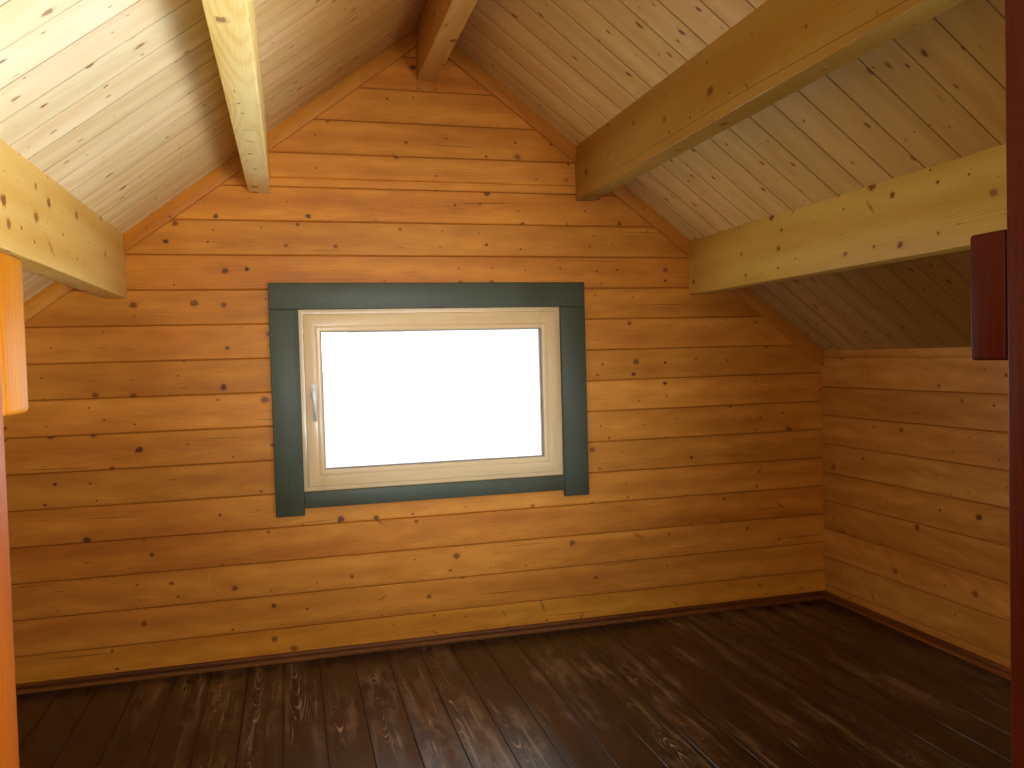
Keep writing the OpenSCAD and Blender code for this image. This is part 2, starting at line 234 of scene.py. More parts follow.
ceilingLook = dict(pineLook, light=(0.82, 0.745, 0.505), dark=(0.72, 0.590, 0.350), knot=(0.20, 0.085, 0.030),
                   halo=(0.52, 0.330, 0.140), knotCell=(0.110, 0.045), knotSize=(0.0018, 0.0066), knotBias=2.2,
                   knotShare=0.38, knotStretch=0.55, spikeShare=0.0, haloDepth=0.45, tint=0.055, checkShare=0.0,
                   ringDepth=0.30, pithRoam=0.09, pithDepth=0.040, cloudy=0.14)
windowLook = dict(pineLook, light=(0.85, 0.620, 0.315), dark=(0.77, 0.530, 0.250), knotShare=0.0, tint=0.02,
                  checkShare=0.0, ring=0.004, ringDepth=0.25, pithDepth=0.5, cloudy=0.05)
sideLook = dict(pineLook, light=(0.65, 0.315, 0.060), dark=(0.49, 0.200, 0.030), halo=(0.36, 0.130, 0.020))
joistLook = dict(pineLook, light=(0.60, 0.42, 0.23), dark=(0.46, 0.29, 0.14), tint=0.12)
battenLook = dict(pineLook, light=(0.66, 0.260, 0.024), dark=(0.50, 0.170, 0.012), knotSize=(0.002, 0.008))
postLook = dict(pineLook, light=(0.36, 0.125, 0.012), dark=(0.26, 0.080, 0.006), knotShare=0.25, tint=0.03,
                checkShare=0.7)
skirtingLook = dict(pineLook, light=(0.22, 0.066, 0.007), dark=(0.11, 0.028, 0.003), knotShare=0.0, tint=0.05,
                    checkShare=0.0)


def toned(colour, share):
    return tuple(c * share for c in colour)


def scatter(f, spot, cell):
    # One point in each cell: the vector from it in metres, and three random numbers for it
    grid = spot * (1 / cell[0], 1 / cell[1], 0.0)
    luck = f.add("ShaderNodeTexWhiteNoise", {"Vector": grid.calc("FLOOR")}, "Color", noise_dimensions="2D")
    dice = Arrow(f, luck.socket)
    apart = grid.calc("FRACTION") - dice.calc("MULTIPLY_ADD", (0.55, 0.5, 0.0), (0.225, 0.25, 0.0))
    return apart * (cell[0], cell[1], 0.0), f.parts((dice * (7.13, 5.37, 9.71)).calc("FRACTION"))


# Noises in the wood: waves per metre along and across the grain, and detail
mottles = {
    "flow": ((1.3, 5.0), 0.0), "ragged": ((80.0, 120.0), 0.0), "fibre": ((7.0, 380.0), 0.0),
    "broad": ((1.2, 16.0), 0.0), "cloud": ((6.0, 19.0), 1.0),
}


def woodFace(f, grain, index, look, stain=None):
    # Colour of boards; grain holds along, across, depth and end, measured from each board's core
    across, depth, end = grain["across"], grain["depth"], grain["end"]
    dice = f.dice(index)
    spot = f.vector(dice[0].line(31.0, grain["along"]), dice[1].line(2.0, depth.line(0.4, across)), 0.0)

    def mottle(kind): return f.flat(spot, *mottles[kind])

    flow = mottle("flow")
    if look["knotShare"] > 0:
        apart, luck = scatter(f, spot, look["knotCell"])
        smallest, largest = look["knotSize"]
        size = (luck[0] ** look["knotBias"]).line(largest - smallest, smallest)
        present = luck[1].over(1.0 - look["knotShare"])
        strength = present * luck[2].line(-0.4, 1.0)
        if look["spikeShare"] == 0.0:
            reach = apart * (look["knotStretch"], 1.0, 0.0)
        else:
            # Where a branch was sawn lengthways it lies across the grain as a leaning spike
            spike = luck[2].under(look["spikeShare"])
            lean = (luck[2] * 40.0).calc("SINE") * spike
            turned = f.add("ShaderNodeVectorRotate", {"Vector": apart, "Angle": lean}, rotation_type="Z_AXIS")
            stretch = f.vector(spike.line(1.4, look["knotStretch"]), spike.line(-0.5, 1.0), 0.0)
            reach = Arrow(f, turned.socket) * stretch
            strength = spike.line(-0.6, 1.0) * strength
        reach = reach.length() / size
        knot = f.fade(mottle("ragged").line(0.9, reach), 1.65, 1.3) * strength
        halo = f.fade(reach, 2.1, 0.8) * present
        # Other points are short dark flecks along the grain
        fleck = f.fade((apart * (110.0, 1000.0, 0.0)).length() / luck[0].line(1.0, 0.6), 1.3, 0.5)
        fleck = fleck * luck[1].under(look["fleckShare"])
    if look["checkShare"] > 0:
        apart, luck = scatter(f, spot, look["checkCell"])
        wavy = apart + f.vector(0.0, flow.line(0.03, -0.015), 0.0)
        check = f.fade((wavy * (1 / look["checkSize"][0], 1 / look["checkSize"][1], 0.0)).length()
                       / luck[0].line(0.9, 0.15), 1.0, 0.6)
        check = check * luck[2].over(1.0 - look["checkShare"])
    core = f.vector(dice[1].line(look["pithRoam"], across), depth + look["pithDepth"], 0.0)
    radius = flow.line(look["wander"], core.length())
    if look["knotShare"] > 0:
        radius = halo.line(0.006, radius)
    ring = (radius * (2 * math.pi / look["ring"])).calc("SINE").line(0.5, 0.5) ** 2.0
    fibre, broad, cloud = mottle("fibre"), mottle("broad"), mottle("cloud")
    tone = fibre.line(0.5, ring.line(look["ringDepth"], -0.5 - look["ringDepth"] / 2))
    tone = broad.calc("MULTIPLY_ADD", 1.5, tone, clamp=True)
    colour = f.blend(tone, look["light"], look["dark"])
    if look["knotShare"] > 0:
        colour = f.blend(halo * look["haloDepth"], colour, look["halo"])
        colour = f.blend(knot, colour, look["knot"])
        colour = f.blend(fleck * 0.7, colour, toned(look["halo"], 0.40))
    if look["checkShare"] > 0:
        colour = f.blend(check * 0.85, colour, toned(look["halo"], 0.24))
    # Each board has its own shade and warmth, and both drift along it
    tint, cloudy = look["tint"], look["cloudy"]
    shade = cloud.line(cloudy, dice[2].line(2 * tint, 1.0 - tint - cloudy / 2))
    warm = shade * cloud.line(cloudy / 2, dice[0].line(tint, 1.0 - tint / 2 - cloudy / 4))
    colour = f.blend(1.0, colour, f.add("ShaderNodeCombineColor", [shade, warm, warm * warm]), "MULTIPLY")
    if stain:
        colour = f.blend(1.0, colour, stain, "MULTIPLY")
    if end:
        colour = f.blend(end * fibre.line(0.25, ring.line(0.35, 0.2)), colour, toned(look["dark"], 0.42))
    return {"colour": colour, "ring": ring, "broad": broad, "cloud": cloud, "flow": flow}


def fibreRelief(f, run):
    # Fine ridges along x, y or z for the bump
    return f.noise(f.place * tuple(6.0 if axis == run else 330.0 for axis in "xyz"), 1.0, 0.0, 0.5)


def grainAlong(f, run, core, turns=True):
    # Grain along x, y or z; core is the middle of the piece on the two other axes, in their order
    axes = {"x": f.x, "y": f.y, "z": f.z}
    facing = {"x": f.nx, "y": f.ny, "z": f.nz}
    first, second = {"x": ("y", "z"), "y": ("x", "z"), "z": ("x", "y")}[run]
    one, two = axes[first] - core[0], axes[second] - core[1]
    grain = {"along": axes[run], "across": two, "depth": one, "end": abs(facing[run]).over(0.7)}
    if turns:
        # On a face that looks along the second axis, the two change places
        turned = abs(facing[second]).over(0.7)
        swapped = turned * (one - two)
        grain["across"], grain["depth"] = two + swapped, one - swapped
    return grain


def jointMask(f, level, pitch, narrow, wide):
    # 1 on the joint lines between boards that repeat at the pitch, and how far off the joint is
    toJoint = abs(level.calc("FRACT") - 0.5).line(-pitch, pitch / 2)
    return f.fade(toJoint, wide, narrow), toJoint


# Log walls: the courses below spikyBelow show most of the sawn branches
logWear = {
    "spikyBelow": 5.0, "spikesLow": 0.48, "spikesHigh": 0.03, "lowestStain": (1.22, 1.42, 1.35),
    "joint": (0.0008, 0.0030), "jointColour": (0.22, 0.048, 0.004),
    "edge": (0.003, 0.012), "edgeColour": (0.38, 0.115, 0.012), "weathered": (0.33, 0.215, 0.12),
}
outsideFrom = bay["wall"] / 2 + 0.001  # the weather side starts behind the middle of the wall


def logFinish(name, run, offset, salt):
    # Lacquered logs with dark joints; run is the axis that the log lies along
    f = Finish(name, Specular_IOR_Level=0.32)
    level = f.z.line(1 / bay["course"], offset / bay["course"] + 0.0005)
    number = level.calc("FLOOR")
    middle = number.line(bay["course"], bay["course"] / 2 - offset)
    if run == "x":
        grain = grainAlong(f, "x", (bay["gableY"] + bay["wall"] / 2, middle), turns=False)
        index = number + salt
    else:
        grain = grainAlong(f, "y", (0.0, middle), turns=False)
        index = f.x.over(0.0).line(40.0, number + salt)
    few, many = logWear["spikesHigh"], logWear["spikesLow"]
    spikes = number.under(logWear["spikyBelow"]).line(many - few, few)
    stain = None
    if run == "x":
        # The lowest course of the gable is the palest
        stain = f.blend(number.under(1.5), (1.0, 1.0, 1.0), logWear["lowestStain"])
    wood = woodFace(f, grain, index, dict(pineLook if run == "x" else sideLook, spikeShare=spikes), stain)
    joint, toJoint = jointMask(f, level, bay["course"], *logWear["joint"])
    near, far = logWear["edge"]
    colour = f.blend(f.fade(toJoint, far, near) * wood["cloud"] * 0.25, wood["colour"], logWear["edgeColour"])
    colour = f.blend(joint * wood["cloud"].line(0.6, 0.10), colour, logWear["jointColour"])
    # The weather side has greyed a little
    beyond = f.y.over(bay["gableY"] + outsideFrom)
    beyond = f.high(beyond, abs(f.x).over(bay["halfRoom"] + outsideFrom))
    colour = f.blend(beyond * wood["broad"].line(0.7, -0.1), colour, logWear["weathered"])
    rough = beyond.line(0.14, wood["cloud"].line(0.16, 0.42))
    return f.paint(colour, rough, fibreRelief(f, run), 0.0011, 0.25)


# Where the cores of the beams and posts are; the beams' painted shades from left to right: low, mid, ridge, mid and
# low beam; the posts and blocks are lighter on the left as painted light and darker on the right as painted shade
sticks = {
    "mid": 0.613, "low": 1.126, "belowRidge": 0.14, "leftPost": -0.806, "rightPost": 0.191, "postY": 0.045,
    "blockY": 0.0785, "joistZ": 0.05, "joistSpacing": 0.43, "split": (0.075, 0.022, 0.003),
    "beamShades": ((0.79, 0.66, 0.46), (1.0, 1.0, 1.0), (0.67, 0.45, 0.28), (0.46, 0.34, 0.16), (0.70, 0.60, 0.32)),
    "postLightAndShade": ((0.68, 0.45, 0.08), (0.35, 0.125, 0.025), (0.90, 0.93, 0.26), (0.24, 0.06, 0.006)),
}


def beamFinish(name, look, run):
    # Purlins, posts and joists; each has its own core and its own number
    f = Finish(name, Specular_IOR_Level=0.12 if run == "z" else 0.28)
    number = f.x.line(1.9, 20.5).calc("FLOOR")
    stain = None
    if run == "y":
        out, mid, low = abs(f.x), sticks["mid"], sticks["low"]
        core = out.over((mid + low) / 2).line(low - mid, out.over(mid / 2) * mid)
        middle = core.line(-bay["rise"], bay["ridgeZ"] - sticks["belowRidge"])
        grain = grainAlong(f, "y", (core * f.x.calc("SIGN"), middle))
        # Painted shade: each beam is darkened by its own multiplier, most the right middle purlin and the ridge
        stain = f.steps(f.x * 0.4 + 0.5, (0.0, 0.14, 0.38, 0.62, 0.86), sticks["beamShades"])
    elif run == "z":
        right = f.x.over(0.0)
        apart = sticks["rightPost"] - sticks["leftPost"]
        grain = grainAlong(f, "z", (right.line(apart, sticks["leftPost"]), bay["nearY"] + sticks["postY"]))
        block = f.y.over(bay["nearY"] + sticks["blockY"])
        number = number + block * 9.0
        # Painted light and shade: the left post and block are lighter, and the right post and block darker
        stain = f.steps((block * 2.0 + right) / 4.0 + 0.01, (0.0, 0.25, 0.50, 0.75), sticks["postLightAndShade"])
    else:
        number = (f.y / sticks["joistSpacing"] + 20.0).calc("FLOOR")
        grain = grainAlong(f, "x", (0.0, sticks["joistZ"]))
    wood = woodFace(f, grain, number, look, stain)
    if run == "y":
        # The right middle purlin has split along the lower part of its room face
        here = f.x.over(mid / 2) * f.x.under((mid + low) / 2)
        here = f.nx.under(-0.9) * here
        wavy = wood["flow"].line(0.020, f.y.line(-0.008, 0.043))
        split = f.fade(abs(grain["across"] + wavy), 0.0016, 0.0005) * f.fade(f.y, 0.85, 0.6) * here
        wood["colour"] = f.blend(split * 0.75, wood["colour"], sticks["split"])
    return f.paint(wood["colour"], wood["cloud"].line(0.2, 0.38), fibreRelief(f, run), 0.0011, 0.25)


def slopeGrain(f):
    # Along, across and through the boards of the two slopes
    out = abs(f.x)
    return {"along": out.line(slopeCos, f.z * -slopeSin), "across": f.y,
            "depth": out.line(slopeSin, f.z.line(slopeCos, -bay["ridgeZ"] * slopeCos)),
            "end": abs(f.nx).over(0.88)}


# Painted shades and a painted shadow on the ceiling boards, and the colour of their joints
ceilingShadesAndJoint = {
    "warmShade": (0.98, 0.785, 0.455), "shadeBesideRidge": (0.64, 0.37, 0.14), "shadeAtOpenEnd": (0.66, 0.44, 0.15),
    "shadowBelowLastBeam": (0.37, 0.195, 0.052), "joint": (0.20, 0.100, 0.030),
}


def ceilingFinish():
    # Boards that run up each slope, one tone for each board
    f = Finish("ceilingPine", Specular_IOR_Level=0.2)
    grain = slopeGrain(f)
    level = f.y.line(-1 / bay["ceilingBoard"], (bay["gableY"] - bay["ceilingLead"]) / bay["ceilingBoard"] + 60.0)
    grain["across"] = level.calc("FRACT").line(-bay["ceilingBoard"], bay["ceilingBoard"] / 2)
    right = f.x.over(0.0)
    # Painted light and shade: the wood is palest near the open end of the left slope, and a painted warm shade
    # darkens it towards the gable and the ridge and over the whole right slope
    warmShade = f.high(right, f.fade(f.y, -0.4, 1.2))
    stain = f.blend(f.high(warmShade, f.fade(f.x, -0.9, -0.3)), (1.0, 1.0, 1.0), ceilingShadesAndJoint["warmShade"])
    # Painted shade darkens it beside the ridge on the left and towards the open end on the right, and a painted
    # shadow darkens it most below the last purlin
    stain = f.blend(f.fade(f.x, -0.75, -0.35) * f.fade(f.x, 0.5, -0.2), stain, ceilingShadesAndJoint["shadeBesideRidge"])
    stain = f.blend(f.fade(f.x, 0.62, 0.66) * f.fade(f.y, 0.6, -0.6), stain, ceilingShadesAndJoint["shadeAtOpenEnd"])
    stain = f.blend(f.fade(f.x, 1.15, 1.3) * f.fade(f.y, 1.8, 0.2), stain, ceilingShadesAndJoint["shadowBelowLastBeam"])
    wood = woodFace(f, grain, right.line(70.0, level.calc("FLOOR")), ceilingLook, stain)
    joint, _ = jointMask(f, level, bay["ceilingBoard"], 0.0022, 0.0038)
    colour = f.blend(joint * wood["broad"].line(0.5, 0.35), wood["colour"], ceilingShadesAndJoint["joint"])
    return f.paint(colour, wood["broad"].line(0.15, 0.46), fibreRelief(f, "x"), 0.0008, 0.2)


def battenFinish():
    f = Finish("lacqueredBatten", Specular_IOR_Level=0.32)
    grain = slopeGrain(f)
    grain["across"], grain["depth"] = grain["depth"], f.y - bay["gableY"]
    wood = woodFace(f, grain, (f.x * 1.9 + 20.5).calc("FLOOR"), battenLook)
    return f.paint(wood["colour"], wood["broad"].line(0.2, 0.32), fibreRelief(f, "x"), 0.0011, 0.25)


def skirtingFinish():
    f = Finish("stainedSkirting", Specular_IOR_Level=0.28)
    side = f.fade(abs(f.x), bay["halfRoom"] - 0.016, bay["halfRoom"] - 0.014)
    grain = {"along": f.swap(side, f.x, f.y), "across": f.z - bay["floorTop"], "depth": f.swap(side, f.y, f.x),
             "end": 0.0}
    wood = woodFace(f, grain, side * f.x.calc("SIGN") + 3.0, skirtingLook)
    # A painted highlight lightens the lower step, in broad patches
    rubbed = f.fade(f.z, bay["floorTop"] + 0.016, bay["floorTop"] + 0.009) * f.fade(wood["broad"], 0.3, 0.6)
    colour = f.blend(rubbed * 0.7, wood["colour"], (0.36, 0.140, 0.022))
    return f.paint(colour, wood["broad"].line(0.2, 0.34), fibreRelief(f, "x"), 0.0009, 0.3)


def windowFinish():
    # Stiles stand beside the glass and rails lie above and below it
    f = Finish("creamWindowWood", Coat_Weight=0.3, Coat_Roughness=0.18)
    stile = abs(f.x).over(bay["glassHalf"] + 0.0005)
    grain = {"along": f.swap(stile, f.x, f.z), "across": f.swap(stile, f.z, abs(f.x)),
             "depth": f.y - bay["gableY"], "end": 0.0}
    wood = woodFace(f, grain, stile * f.x.calc("SIGN") + f.z.calc("FLOOR") * 3.0 + 8.0, windowLook)
    # A dark hairline where a rail meets a stile
    meet = f.fade(abs(abs(f.x) - bay["glassHalf"]), 0.0009, 0.0003)
    colour = f.blend(meet * 0.35, wood["colour"], (0.30, 0.20, 0.11))
    return f.paint(colour, wood["broad"] * 0.16 + 0.26, wood["broad"] * 0.3 - meet * 0.6, 0.0006, 0.5)


floorLook = dict(pineLook, light=(0.031, 0.014, 0.006), dark=(0.014, 0.006, 0.0025), knot=(0.008, 0.003, 0.002),
                 halo=(0.016, 0.007, 0.003), knotCell=(0.45, 0.12), tint=0.22, pithDepth=0.035, pithRoam=0.06,
                 ring=0.0036, ringDepth=0.5, wander=0.09)
floorWear = {"rubbed": (0.085, 0.043, 0.018), "bare": (0.42, 0.285, 0.150), "joint": (0.006, 0.003, 0.002)}


def floorFinish():
    # Dark stained planks; where they are worn the grain shows through as broken light rings
    f = Finish("wornDarkFloor", Specular_IOR_Level=0.5)
    level = (f.x - bay["floorLead"]) / bay["floorBoard"] + 40.0
    grain = {"along": f.y, "across": (level.calc("FRACT") - 0.5) * bay["floorBoard"],
             "depth": f.z - bay["floorTop"], "end": f.fade(abs(f.ny), 0.68, 0.74)}
    wood = woodFace(f, grain, level.calc("FLOOR"), floorLook)
    joint, toJoint = jointMask(f, level, bay["floorBoard"], 0.0008, 0.0024)
    patches = f.flat(f.place, (1.9, 1.2), 2.0)
    worn = f.fade(patches + (wood["broad"] - 0.5) * 0.5, 0.46, 0.62)
    scrape = f.fade(f.flat(f.place, (55.0, 2.6), 1.0), 0.56, 0.74)
    # Feet have rubbed the stain away in soft patches, and broken rings and scratches show bare wood
    rubbed = f.fade(f.flat(f.place, (9.0, 2.2), 1.0), 0.52, 0.72) * worn
    broken = f.fade(f.flat(f.place, (26.0, 10.0), 2.0, 0.7), 0.42, 0.64)
    bare = f.low(worn * (wood["ring"] ** 4.0 * broken + scrape * 0.35), 1.0) * f.fade(toJoint, 0.002, 0.02)
    colour = f.blend(rubbed * 0.85, wood["colour"], floorWear["rubbed"])
    colour = f.blend(bare * 0.9, colour, floorWear["bare"])
    colour = f.blend(joint * 0.5, colour, floorWear["joint"])
    rough = bare * 0.18 + wood["broad"] * 0.2 + 0.20
    return f.paint(colour, rough, fibreRelief(f, "y"), 0.0009, 0.3)


slatePaint = {"colour": (0.056, 0.068, 0.038), "brown": (1.1, 0.62, 0.45), "worn": (0.22, 0.16, 0.09),
              "roughness": 0.34, "uprightFrom": 0.52, "uprightTop": 1.483}


def paintedFinish():
    # Brushed paint with the grain showing through and a few thin places
    f = Finish("slatePaint")
    colour, side, top = slatePaint["colour"], slatePaint["uprightFrom"], slatePaint["uprightTop"]
    upright = f.fade(abs(f.x), side, side + 0.02) * f.fade(f.z, top, top - 0.002)
    along, across = f.swap(upright, f.x, f.z), f.swap(upright, f.z, f.x)
    strokes = f.noise(f.vector(along * 9.0, across * 260.0, f.y * 60.0), 1.0, 2.0, 0.6)
    cloud = f.noise(f.place, 7.0, 3.0)
    thin = f.fade(f.noise(f.place, 70.0, 2.0, 0.7), 0.66, 0.74) * f.fade(cloud, 0.5, 0.7)
    tone = f.blend(cloud, colour, toned(colour, 1.3))
    tone = f.blend(f.fade(strokes, 0.5, 0.75) * 0.35, tone, toned(colour, 0.65))
    brown = tuple(c * k for c, k in zip(colour, slatePaint["brown"]))
    tone = f.blend(f.fade(cloud, 0.50, 0.36) * 0.45, tone, brown)
    tone = f.blend(thin * 0.5, tone, slatePaint["worn"])
    return f.paint(tone, cloud.line(0.16, slatePaint["roughness"]), strokes, 0.0007, 0.6)


def glassFinish():
    f = Finish("clearPane", Transmission_Weight=1.0, IOR=1.45)
    smear = f.noise(f.place, 9.0)
    return f.paint((1.0, 1.0, 1.0), f.fade(smear, 0.6, 0.9) * 0.02)


def metalFinish():
    f = Finish("satinMetal", Metallic=1.0)
    brushed = f.noise(f.vector(f.x * 900.0, f.y * 900.0, f.z * 60.0), 1.0, 1.0)
    touched = f.noise(f.place, 40.0)
    tone = f.blend(touched, (0.22, 0.195, 0.16), (0.31, 0.28, 0.235))
    return f.paint(tone, touched * 0.12 + brushed * 0.1 + 0.28, brushed, 0.0002, 0.35)


def rubberFinish():
    f = Finish("sealRubber")
    dust = f.noise(f.place, 120.0)
    return f.paint(f.blend(dust, (0.30, 0.28, 0.23), (0.38, 0.355, 0.30)), dust * 0.2 + 0.6, dust, 0.0003, 0.4)


# Felt shingles in courses that start at the eave
shingles = {
    "exposure": 0.145, "tabWidth": 0.333, "tabLength": 0.245, "slot": 0.007, "thickness": 0.0025,
    "corner": 0.010, "bodyTop": 0.0425, "jitter": (0.0015, 0.0035, 0.0004), "seed": 7, "granules": 420.0,
    "eaveInset": 0.0015, "rakeInset": 0.0006, "clear": 0.0004, "rim": 0.002,
}


def shingleFinish():
    # Mineral granules on felt, each tab its own shade
    f = Finish("feltShingle")
    cells = f.add("ShaderNodeTexVoronoi", {"Vector": f.place, "Scale": shingles["granules"]}, "Color")
    bright = f.parts(cells)[0]
    down = abs(f.x) * slopeCos - f.z * slopeSin
    row = (down / shingles["exposure"]).calc("FLOOR")
    column = (f.y / shingles["tabWidth"] + row * 0.5).calc("FLOOR")
    tab = column + row * 57.0 + f.x.over(0.0) * 911.0
    luck = f.dice(tab)
    tone = f.blend(luck[0], (0.050, 0.052, 0.056), (0.085, 0.083, 0.082))
    tone = f.blend(f.fade(bright, 0.55, 0.95) * 0.6, tone, (0.16, 0.155, 0.15))
    tone = f.blend(f.fade(f.noise(f.place, 2.0, 3.0), 0.45, 0.75) * 0.25, tone, (0.10, 0.105, 0.085))
    return f.paint(tone, bright * 0.12 + 0.8, bright, 0.0012, 0.8)


print("materials")
gableWood = logFinish("lacqueredGableLog", "x", 0.0, 0.0)
thinWood = logFinish("lacqueredThinCourse", "x", 0.0, 71.0)
sideWood = logFinish("lacqueredSideLog", "y", bay["course"] / 2, 100.0)
battenWood = battenFinish()
beamWood = beamFinish("paleBeam", purlinLook, "y")
joistWood = beamFinish("rawJoist", joistLook, "x")
postWood = beamFinish("stainedPostLitAndShaded", postLook, "z")
skirtingWood = skirtingFinish()
windowWood = windowFinish()
ceilingWood = ceilingFinish()
floorWood = floorFinish()
casingPaint = paintedFinish()
paneGlass = glassFinish()
leverMetal = metalFinish()
sealRubber = rubberFinish()
shingleFelt = shingleFinish()

wearers = (
    (beamWood, "ridge_beam mid_purlins low_purlins"), (battenWood, "ridge_packer gable_battens"),
    (ceilingWood, "ceiling_boards_left ceiling_boards_right"), (joistWood, "floor_joists"),
    (shingleFelt, "roof_covering_left roof_covering_right ridge_cap"), (floorWood, "floor_boards"),
    (casingPaint, "barge_boards inner_casing_boards outer_casing_boards"), (skirtingWood, "skirting"),
    (windowWood, "window_frame window_sash"), (paneGlass, "window_glass"), (leverMetal, "window_handle"),
    (postWood, "doorway_posts post_blocks"), (thinWood, "gable_thin_course"),
    (sideWood, "side_logs_even side_logs_odd"),
)
finishOf = {nodeName: finish for finish, names in wearers for nodeName in names.split()}
for nodeName, nodeObject in frame["nodes"].items():
    nodeObject.data.materials.clear()
    nodeObject.data.materials.append(finishOf.get(nodeName, gableWood))


def meshOf(shape, name):
    mesh = bpy.data.meshes.new(name)
    shape.to_mesh(mesh)
    shape.free()
    return mesh


def addPiece(name, shape, finish, slot, *replaced):
    mesh = meshOf(shape, name)
    mesh.materials.clear()
    mesh.materials.append(finish)
    piece = newObject(name, mesh)
    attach(piece, "root")
    if replaced:
        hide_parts(*replaced)


# Nodes whose edges are eased in the real piece, with the radius in metres
easedEdges = {
    "ridge_beam": 0.003, "mid_purlins": 0.003, "low_purlins": 0.003, "doorway_posts": 0.004,
    "post_blocks": 0.004, "gable_battens": 0.002, "inner_casing_boards": 0.0025,
    "outer_casing_boards": 0.0025, "window_frame": 0.002, "window_sash": 0.003,
    "barge_boards": 0.002, "window_handle": 0.0028, "ridge_packer": 0.0015, "skirting": 0.0006,
}
easing = {"sharp": 30, "flat": 1, "shade": 32, "segments": 3, "merge": 1e-5}  # angles in degrees
slotOf = {row["node"]: row["material_slot"] for row in frame["record"]["subparts"]}


def shadeByAngle(shape, degrees):
    for face in shape.faces:
        face.smooth = True
    for edge in shape.edges:
        edge.smooth = len(edge.link_faces) == 2 and edge.calc_face_angle(0) < math.radians(degrees)


def easeNode(nodeName, radius):
    # A merged copy of the node with its sharp edges rounded
    shape = bmesh.new()
    shape.from_mesh(frame["nodes"][nodeName].data)
    bmesh.ops.remove_doubles(shape, verts=shape.verts, dist=easing["merge"])
    bmesh.ops.dissolve_limit(shape, angle_limit=math.radians(easing["flat"]), verts=shape.verts, edges=shape.edges)
    least = math.radians(easing["sharp"])
    sharp = [e for e in shape.edges if len(e.link_faces) == 2 and e.calc_face_angle(0) > least]
    bmesh.ops.bevel(shape, geom=sharp, offset=radius, segments=easing["segments"], profile=0.5, affect="EDGES",
                    clamp_overlap=True)
    shadeByAngle(shape, easing["shade"])
    addPiece(nodeName + "_eased", shape, finishOf[nodeName], slotOf[nodeName], nodeName)


for nodeName, radius in easedEdges.items():
    easeNode(nodeName, radius)
print("eased edges")


class Grow(Tree):
    # A Geometry Nodes tree with named inputs that is run once and turned into a plain mesh
    def __init__(self, name, inputs):
        self.group = bpy.data.node_groups.new(name, "GeometryNodeTree")
        self.keys = {}
        for label, kind in {**inputs, "Seed": "Int", "Material": "Material"}.items():
            socket = self.group.interface.new_socket(name=label, in_out="INPUT", socket_type="NodeSocket" + kind)
            self.keys[label] = socket.identifier
        self.group.interface.new_socket(name="Geometry", in_out="OUTPUT", socket_type="NodeSocketGeometry")
        super().__init__(self.group)
        self.given = self.nodes.new("NodeGroupInput")
        self.result = self.nodes.new("NodeGroupOutput")

    def take(self, label):
        return Wire(self, self.given.outputs[label])

    def modelOf(self, label):
        return self.add("GeometryNodeObjectInfo", {"Object": self.take(label)}, "Geometry")

    def chance(self, low, high):
        # A random number for each point
        return self.add("FunctionNodeRandomValue", {2: low, 3: high, "Seed": self.take("Seed")}, 1, data_type="FLOAT")

    def row(self, label, count, place, turn=(0.0, 0.0, 0.0)):
        points = self.add("GeometryNodePoints", {"Count": count, "Position": place})
        self.close(label, points, turn)

    def close(self, label, points, turn):
        # Copies of the model stand on the points, made real and dressed
        copies = self.add("GeometryNodeInstanceOnPoints",
                          {"Points": points, "Instance": self.modelOf(label), "Rotation": turn}, "Instances")
        solid = self.add("GeometryNodeRealizeInstances", {"Geometry": copies})
        dressed = self.add("GeometryNodeSetMaterial", {"Geometry": solid, "Material": self.take("Material")})
        self.links.new(dressed.socket, self.result.inputs["Geometry"])

    def harvest(self, values, laid=Matrix.Identity(4)):
        # The grown shape, laid in its place
        holder = newObject("holder", bpy.data.meshes.new("holder"))
        maker = holder.modifiers.new("grow", "NODES")
        maker.node_group = self.group
        for label, value in values.items():
            maker[self.keys[label]] = value
        mesh = bpy.data.meshes.new_from_object(holder.evaluated_get(bpy.context.evaluated_depsgraph_get()))
        holder.modifiers.clear()
        for spare in (holder, *(v for v in values.values() if isinstance(v, bpy.types.Object))):
            bpy.data.objects.remove(spare)
        mesh.transform(laid)
        shape = bmesh.new()
        shape.from_mesh(mesh)
        return shape


def helperOf(shape, name):
    # A pattern object that a Geometry Nodes tree copies; harvest removes it
    bmesh.ops.recalc_face_normals(shape, faces=shape.faces)
    return newObject(name, meshOf(shape, name))


def circle(radius, sides, z):
    return [(radius * math.cos(a), radius * math.sin(a), z) for a in (2 * math.pi * i / sides for i in range(sides))]


def joinRings(shape, rings):
    # Faces between each ring of vertices and the next
    for ring, following in zip(rings, rings[1:]):
        for i in range(len(ring)):
            j = (i + 1) % len(ring)
            shape.faces.new((ring[i], ring[j], following[j], following[i]))


def prism(outline, low, high, axis=2):
    # A closed prism over an outline given in the two other axes
    shape = bmesh.new()
    rings = []
    for level in (low, high):
        places = [[a, b] for a, b in outline]
        for place in places:
            place.insert(axis, level)
        rings.append([shape.verts.new(place) for place in places])
    for ring in rings:
        shape.faces.new(ring)
    joinRings(shape, rings)
    return shape


def trim(shape, *cuts):
    # Cuts away what lies beyond each plane and closes the cut
    for point, outward in cuts:
        found = bmesh.ops.bisect_plane(shape, geom=shape.verts[:] + shape.edges[:] + shape.faces[:],
                                       plane_co=point, plane_no=outward, clear_outer=True, dist=1e-6)
        edges = [e for e in found["geom_cut"] if isinstance(e, bmesh.types.BMEdge)]
        bmesh.ops.holes_fill(shape, edges=edges, sides=0)


def shingleTab():
    half = shingles["tabWidth"] / 2 - shingles["slot"] / 2
    cut, length = shingles["corner"], shingles["tabLength"]
    outline = [(-half, cut), (-half + cut, 0), (half - cut, 0), (half, cut), (half, length), (-half, length)]
    return helperOf(prism(outline, 0.0, shingles["thickness"]), "shingleTab")


